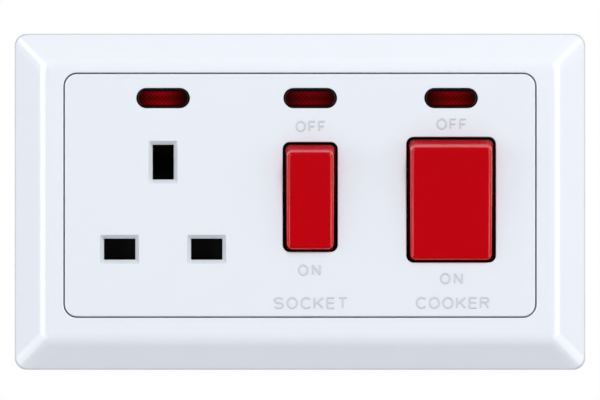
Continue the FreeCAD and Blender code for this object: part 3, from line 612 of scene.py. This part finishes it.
class UNIT_OT_outer_frame(bpy.types.Operator):
    """Finish the bevelled outer frame"""

    bl_idname = "cooker_unit.outer_frame"
    bl_label = "Outer frame"

    def execute(self, context):
        finishes = context.scene.unit_finishes
        edge = -context.scene.unit_sizes.rim_height
        # The gloss ends a little in front of the rim, and from there the rim's colour is darkened as
        # painted shade.
        shade_and_gloss_start, shade_and_gloss_end = 1.15 * edge, 1.05 * edge
        material = moulded_plastic(
            "frame_plastic",
            finishes.frame_white,
            finishes.plastic_roughness,
            dust=finishes.plate_dust,
            coat=finishes.plastic_coat,
            matt=(shade_and_gloss_start, shade_and_gloss_end, finishes.rim_shade_share),
        )
        dress(material, "outer_frame")
        return {"FINISHED"}


class UNIT_OT_front_panel(bpy.types.Operator):
    """Finish the front panel"""

    bl_idname = "cooker_unit.front_panel"
    bl_label = "Front panel"

    def execute(self, context):
        finishes = context.scene.unit_finishes
        material = moulded_plastic(
            "panel_plastic",
            finishes.panel_white,
            finishes.plastic_roughness,
            dust=finishes.plate_dust,
            coat=finishes.plastic_coat,
        )
        dress(material, "front_panel")
        return {"FINISHED"}


class UNIT_OT_panel_legends(bpy.types.Operator):
    """Raise the words over and under the rockers"""

    bl_idname = "cooker_unit.panel_legends"
    bl_label = "Panel legends"

    def execute(self, context):
        sizes = context.scene.unit_sizes
        # The words are grey as painted shade.
        material = moulded_plastic("legend_plastic", context.scene.unit_finishes.legend_shade_grey, roughness=0.4)
        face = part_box("front_panel")[0].y
        turned = Matrix.Rotation(math.pi / 2, 4, "X")
        for text, name, x, z, width, height in panel_legends:
            mesh = word_mesh(text, width * mm, height * mm, sizes.legend_stroke, sizes.legend_raise)
            mesh.transform(Matrix.Translation((x * mm, face, z * mm)) @ turned)
            add_piece(name, mesh, material, "unit")
        return {"FINISHED"}


class UNIT_OT_rockers(bpy.types.Operator):
    """Finish the red rockers"""

    bl_idname = "cooker_unit.rockers"
    bl_label = "Rockers"

    def execute(self, context):
        finishes = context.scene.unit_finishes
        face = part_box("front_panel")[0].y
        # Below the panel's face a rocker grows matt, and its colour is darkened there as painted shade in
        # the gap.
        matt_and_shade_depths = (face + 1.0 * mm, face + 2.5 * mm, 0.2)
        material = moulded_plastic(
            "rocker_plastic", finishes.rocker_red, roughness=0.1, coat=finishes.rocker_coat, matt=matt_and_shade_depths
        )
        shader = material.node_tree.nodes["Principled BSDF"]
        shader.inputs["Specular IOR Level"].default_value = 1.0
        shader.inputs["Specular Tint"].default_value = opaque(finishes.rocker_shine)
        dress(material, "socket_rocker", "cooker_rocker")
        return {"FINISHED"}


class UNIT_OT_neons(bpy.types.Operator):
    """Finish the neon lenses, lamps and resistors"""

    bl_idname = "cooker_unit.neons"
    bl_label = "Neon indicators"

    def execute(self, context):
        finishes = context.scene.unit_finishes
        glass, tree, shader = blank_material("lamp_glass")
        tone = effect(tree, "moulding_grain")["Tone"]
        spread_roughness(tree, shader, tone, roughness=0.06, share=0.5)
        shader.inputs["Base Color"].default_value = opaque(finishes.glass)
        shader.inputs["Transmission Weight"].default_value = 1.0
        lacquer = moulded_plastic("resistor_lacquer", finishes.resistor, roughness=0.4)
        for window, glow in neon_painted_glows.items():
            dress(red_lens("lens_" + window, *glow), "neon_lens_" + window)
            dress(glass, "neon_lamp_" + window)
            dress(lacquer, "neon_resistor_" + window)
        return {"FINISHED"}


class UNIT_OT_mouldings(bpy.types.Operator):
    """Finish the base housing, the black inner mouldings and the plungers"""

    bl_idname = "cooker_unit.mouldings"
    bl_label = "Base and inner mouldings"

    def execute(self, context):
        finishes = context.scene.unit_finishes
        coarse = {"grain": coarse_grain, "depth": coarse_depth}
        base = moulded_plastic("base_plastic", finishes.base_grey, roughness=0.5, dust=0.12, **coarse)
        black = moulded_plastic("black_plastic", finishes.black, roughness=0.45, **coarse)
        nylon = moulded_plastic("plunger_nylon", finishes.nylon, roughness=0.42)
        dress(base, "base_housing")
        dress(black, "mechanism_cover", "socket_shutter")
        dress(nylon, *plunger_hinges)
        return {"FINISHED"}


class UNIT_OT_metalwork(bpy.types.Operator):
    """Finish the strips, contacts, terminals and screws"""

    bl_idname = "cooker_unit.metalwork"
    bl_label = "Metalwork"

    def execute(self, context):
        finishes = context.scene.unit_finishes
        strip = bare_metal("rolled_brass", finishes.brass, roughness=0.3)
        block = bare_metal("machined_brass", finishes.brass, roughness=0.24, lines=turned_lines)
        arm = bare_metal("copper_arm", finishes.copper, roughness=0.28)
        steel = bare_metal("plated_steel", finishes.steel, roughness=0.26, lines=turned_lines)
        screw = bare_metal("screw_brass", finishes.brass, roughness=0.34, lines=turned_lines)
        # Darker brass in the socket: painted shade.
        contact = bare_metal("slot_shade_brass", finishes.slot_shade_brass, roughness=0.4)
        dress(strip, *ending("_strip", "_link"))
        dress(contact, *ending("_contact"))
        dress(block, *ending("_pillar"))
        dress(arm, *ending("_arm"))
        dress(steel, "cover_screws")
        dress(screw, "terminal_screws")
        return {"FINISHED"}


class UNIT_OT_springs(bpy.types.Operator):
    """Wind the round-wire springs of the shutter and the plungers"""

    bl_idname = "cooker_unit.springs"
    bl_label = "Springs"

    def execute(self, context):
        sizes = context.scene.unit_sizes
        wire = sizes.wire_radius
        steel = bare_metal(
            "spring_steel", context.scene.unit_finishes.steel, roughness=0.22, lines=turned_lines
        )
        low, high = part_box("shutter_spring")
        length = high.z - low.z
        mesh = coil_mesh((high.x - low.x) / 2 - wire, wire, sizes.shutter_turns, length)
        foot = Vector(((low.x + high.x) / 2, (low.y + high.y) / 2, low.z))
        mesh.transform(Matrix.Translation(foot))
        spring = add_piece("shutter_coil", mesh, steel, "unit")
        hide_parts("shutter_spring")
        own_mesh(spring)

        for plunger, (body, hinge) in plunger_hinges.items():
            low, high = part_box(plunger + "_spring")
            # At rest a rocker stands at half its travel from level.
            tilt = math.radians(-joints[hinge]["range_deg"][0]) / 2
            radius = (high.x - low.x) / 2 - wire
            span = high.y - low.y
            length = (span - 2 * (radius + wire) * math.sin(tilt)) / math.cos(tilt)
            mesh = coil_mesh(radius, wire, sizes.plunger_turns, length)
            lean = Matrix.Rotation(tilt - math.pi / 2, 4, "X")
            centred = Matrix.Translation((0, 0, -length / 2))
            mesh.transform(Matrix.Translation((low + high) / 2) @ lean @ centred)
            spring = add_piece(plunger + "_coil", mesh, steel, body)
            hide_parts(plunger + "_spring")
        return {"FINISHED"}


class UNIT_OT_terminal_marks(bpy.types.Operator):
    """Raise the letters beside the terminals on the back of the base"""

    bl_idname = "cooker_unit.terminal_marks"
    bl_label = "Terminal marks"

    def execute(self, context):
        sizes = context.scene.unit_sizes
        material = moulded_plastic("mark_plastic", context.scene.unit_finishes.mark_grey, roughness=0.45)
        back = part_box("base_housing")[1].y
        turned = Matrix.Rotation(math.pi, 4, "Z") @ Matrix.Rotation(math.pi / 2, 4, "X")
        gap = 0.6 * sizes.mark_height
        for name in ending("_pillar"):
            low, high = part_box(name)
            middle = low.z - gap if low.z > 0 else high.z + gap
            letter = terminal_letters[name.split("_")[-2]]
            mesh = word_mesh(letter, 0.0, sizes.mark_height, sizes.legend_stroke, sizes.mark_raise)
            mesh.transform(Matrix.Translation(((low.x + high.x) / 2, back, middle)) @ turned)
            add_piece("mark_" + name, mesh, material, "unit")
        return {"FINISHED"}


class UNIT_OT_stage(bpy.types.Operator):
    """Set the floor, the lights and the camera"""

    bl_idname = "cooker_unit.stage"
    bl_label = "Stage"

    def execute(self, context):
        stage = context.scene.unit_stage
        context.scene.view_settings.view_transform = "Standard"
        self.lay_floor(stage)
        self.hang_curtain(stage)
        self.light_sky(stage)
        self.light_lamps(stage)
        self.place_camera(stage)
        return {"FINISHED"}

    def lay_floor(self, stage):
        """A pale round floor, out of the camera's view."""
        sides = 96
        points = [(0.0, 0.0, stage.floor_level)]
        for step in range(sides):
            angle = 2 * math.pi * step / sides
            x = stage.floor_radius * math.cos(angle)
            y = stage.floor_radius * math.sin(angle)
            points.append((x, y, stage.floor_level))
        faces = [(0, 1 + step, 1 + (step + 1) % sides) for step in range(sides)]
        mesh = bpy.data.meshes.new("floor")
        mesh.from_pydata(points, [], faces)
        material, tree, shader = blank_material("floor_paper")
        texture = effect(tree, "moulding_grain", Tone_Scale=3.0)
        shade = vary(tree, texture["Tone"], stage.floor_white, least=0.988, most=1.012)
        tree.links.new(shade, shader.inputs["Base Color"])
        shader.inputs["Roughness"].default_value = 0.9
        shader.inputs["Emission Color"].default_value = (1.0, 1.0, 1.0, 1.0)
        tree.links.new(self.clear_rays(tree, 0.0, stage.floor_lift), shader.inputs["Emission Strength"])
        mesh.materials.append(material)
        floor = stand("floor", mesh)

    def hang_curtain(self, stage):
        """A curtain round and over the studio and a card before the plate, which only reflections see."""
        radius, top, sides, half_angle = 2.0, 1.6, 48, 100
        card_half, card_top, card_y, card_near, card_lift = 0.30, 0.10, -0.55, 0.05, 0.005
        points, faces = [], []
        for step in range(sides + 1):
            angle = math.radians(half_angle * (2 * step / sides - 1))
            for level in (stage.floor_level, top):
                points.append((radius * math.sin(angle), -radius * math.cos(angle), level))
        for step in range(sides):
            faces.append((2 * step, 2 * step + 2, 2 * step + 3, 2 * step + 1))
        points.append((0.0, 0.0, top))
        faces += [(2 * step + 1, 2 * step + 3, len(points) - 1) for step in range(sides)]
        # The card stands up at card_y and lies along the floor from there to the plate.
        first = len(points)
        foot = stage.floor_level + card_lift
        for y, level in ((card_y, card_top), (card_y, foot), (card_near, foot)):
            points += [(-card_half, y, level), (card_half, y, level)]
        faces += [(first, first + 1, first + 3, first + 2), (first + 2, first + 3, first + 5, first + 4)]
        mesh = bpy.data.meshes.new("curtain")
        mesh.from_pydata(points, [], faces)
        material, _, shader = blank_material("curtain_cloth")
        shader.inputs["Base Color"].default_value = opaque(stage.curtain_black)
        shader.inputs["Roughness"].default_value = 1.0
        mesh.materials.append(material)
        curtain = stand("curtain", mesh)
        curtain.visible_camera = False
        curtain.visible_diffuse = False
        curtain.visible_shadow = False
        curtain.visible_transmission = False

    def clear_rays(self, tree, on_surfaces, in_view):
        """One value for rays from the camera, reflections and glass, another for the light on surfaces."""
        path = put(tree, "ShaderNodeLightPath").outputs
        seen = maths(tree, "MAXIMUM", path["Is Camera Ray"], path["Is Glossy Ray"])
        clear = maths(tree, "MAXIMUM", seen, path["Is Transmission Ray"])
        return ramp(tree, clear, {"To Min": on_surfaces, "To Max": in_view})

    def light_sky(self, stage):
        """White all round: plain white to the camera and in reflections, softer on the surfaces."""
        world = bpy.data.worlds.new("studio")
        bpy.context.scene.world = world
        world.use_nodes = True
        tree = world.node_tree
        sky = tree.nodes["Background"]
        sky.inputs["Color"].default_value = (1.0, 1.0, 1.0, 1.0)
        tree.links.new(self.clear_rays(tree, stage.sky_strength, 1.0), sky.inputs["Strength"])

    def light_lamps(self, stage):
        """Soft lamps that light the surfaces, and a tall strip on each side for the gloss to mirror."""
        # Name, place, width and height in metres, power, and whether the gloss mirrors it.
        lamps = (
            ("top_lamp", (0.35, -0.80, 0.90), (0.30, 0.30), stage.top_power, False),
            ("left_lamp", (-1.22, -0.26, 0.05), (0.80, 0.50), stage.left_power, False),
            ("right_lamp", (1.22, -0.26, 0.05), (0.80, 0.50), stage.right_power, False),
            ("back_lamp", (-0.55, 1.00, 0.60), (0.60, 0.60), stage.back_power, False),
            ("left_strip", (-0.99, -0.77, 0.35), (0.75, 1.50), stage.strip_power, True),
            ("right_strip", (0.99, -0.77, 0.35), (0.75, 1.50), stage.strip_power, True),
        )
        for name, place, (width, height), power, mirrored in lamps:
            data = bpy.data.lights.new(name, "AREA")
            data.shape = "RECTANGLE"
            data.size = width
            data.size_y = height
            data.energy = power
            lamp = stand(name, data)
            lamp.location = place
            lamp.rotation_euler = (-lamp.location).to_track_quat("-Z", "Y").to_euler()
            lamp.visible_glossy = mirrored
            lamp.visible_diffuse = not mirrored

    def place_camera(self, stage):
        """Straight in front of the plate, far enough off to keep its lines parallel."""
        data = bpy.data.cameras.new("camera")
        data.lens = stage.lens
        data.sensor_width = 36.0
        data.clip_end = 50.0
        camera = stand("camera", data)
        distance = stage.view_width * stage.lens / data.sensor_width
        camera.location = (0.0, -distance, stage.view_rise)
        camera.rotation_euler = (math.pi / 2, 0.0, 0.0)
        bpy.context.scene.camera = camera


operators = (
    UNIT_OT_outer_frame,
    UNIT_OT_front_panel,
    UNIT_OT_panel_legends,
    UNIT_OT_rockers,
    UNIT_OT_neons,
    UNIT_OT_mouldings,
    UNIT_OT_metalwork,
    UNIT_OT_springs,
    UNIT_OT_terminal_marks,
    UNIT_OT_stage,
)


class UNIT_PT_sidebar(bpy.types.Panel):
    """The steps and settings of the cooker control unit"""

    bl_idname = "UNIT_PT_sidebar"
    bl_label = "Cooker control unit"
    bl_space_type = "VIEW_3D"
    bl_region_type = "UI"
    bl_category = "Cooker unit"

    def draw(self, context):
        for operator in operators:
            self.layout.operator(operator.bl_idname)
        scene = context.scene
        for group in (scene.unit_finishes, scene.unit_sizes, scene.unit_stage):
            column = self.layout.column()
            for name in group.__annotations__:
                column.prop(group, name)


property_groups = {"unit_finishes": UnitFinishes, "unit_sizes": UnitSizes, "unit_stage": UnitStage}


def register():
    for made in (*property_groups.values(), *operators, UNIT_PT_sidebar):
        bpy.utils.register_class(made)
    for name, group in property_groups.items():
        setattr(bpy.types.Scene, name, PointerProperty(type=group))


def unregister():
    for name in property_groups:
        delattr(bpy.types.Scene, name)
    for made in (UNIT_PT_sidebar, *reversed(operators), *property_groups.values()):
        bpy.utils.unregister_class(made)


def main():
    register()
    for operator in operators:
        module, name = operator.bl_idname.split(".")
        getattr(getattr(bpy.ops, module), name)()


if __name__ == "__main__":
    main()
